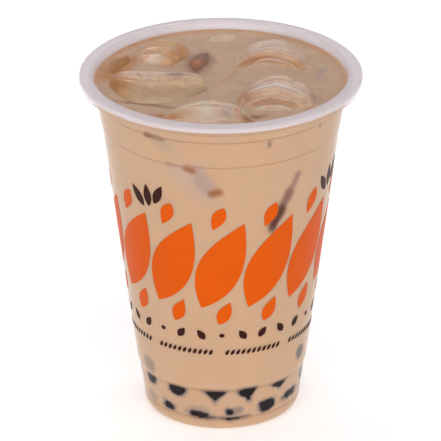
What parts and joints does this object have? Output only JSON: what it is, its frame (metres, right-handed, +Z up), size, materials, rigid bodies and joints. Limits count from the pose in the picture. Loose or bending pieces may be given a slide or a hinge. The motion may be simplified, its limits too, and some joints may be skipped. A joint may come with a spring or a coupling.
{
  "type": "bubble tea",
  "caption": "Iced milk tea with tapioca pearls in a tapered clear plastic cup with a flanged rim and a stacking step.",
  "frame": {"origin": "centre of the cup's foot ring, on the surface that it stands on", "axes": "+Z up the cup's axis to its rim, -Y towards the side that the picture shows"},
  "size_m": [0.095, 0.095, 0.1214],
  "materials": {
    "cup_plastic": "translucent moulded polypropylene with a soft gloss",
    "milk_tea": "opaque milky tan liquid with a wet gloss",
    "tapioca": "near black wet jelly",
    "ice": "clear wet ice with a film of tea"
  },
  "bodies": {
    "root": {"cup": "cup_plastic", "tea": "milk_tea", "pearls": "tapioca", "ice_left_slab": "ice", "ice_back_left": "ice", "ice_wall_left": "ice", "ice_middle_chip": "ice", "ice_back_chip": "ice", "ice_back_right": "ice", "ice_front_right": "ice", "ice_front": "ice"}
  },
  "joints": []
}
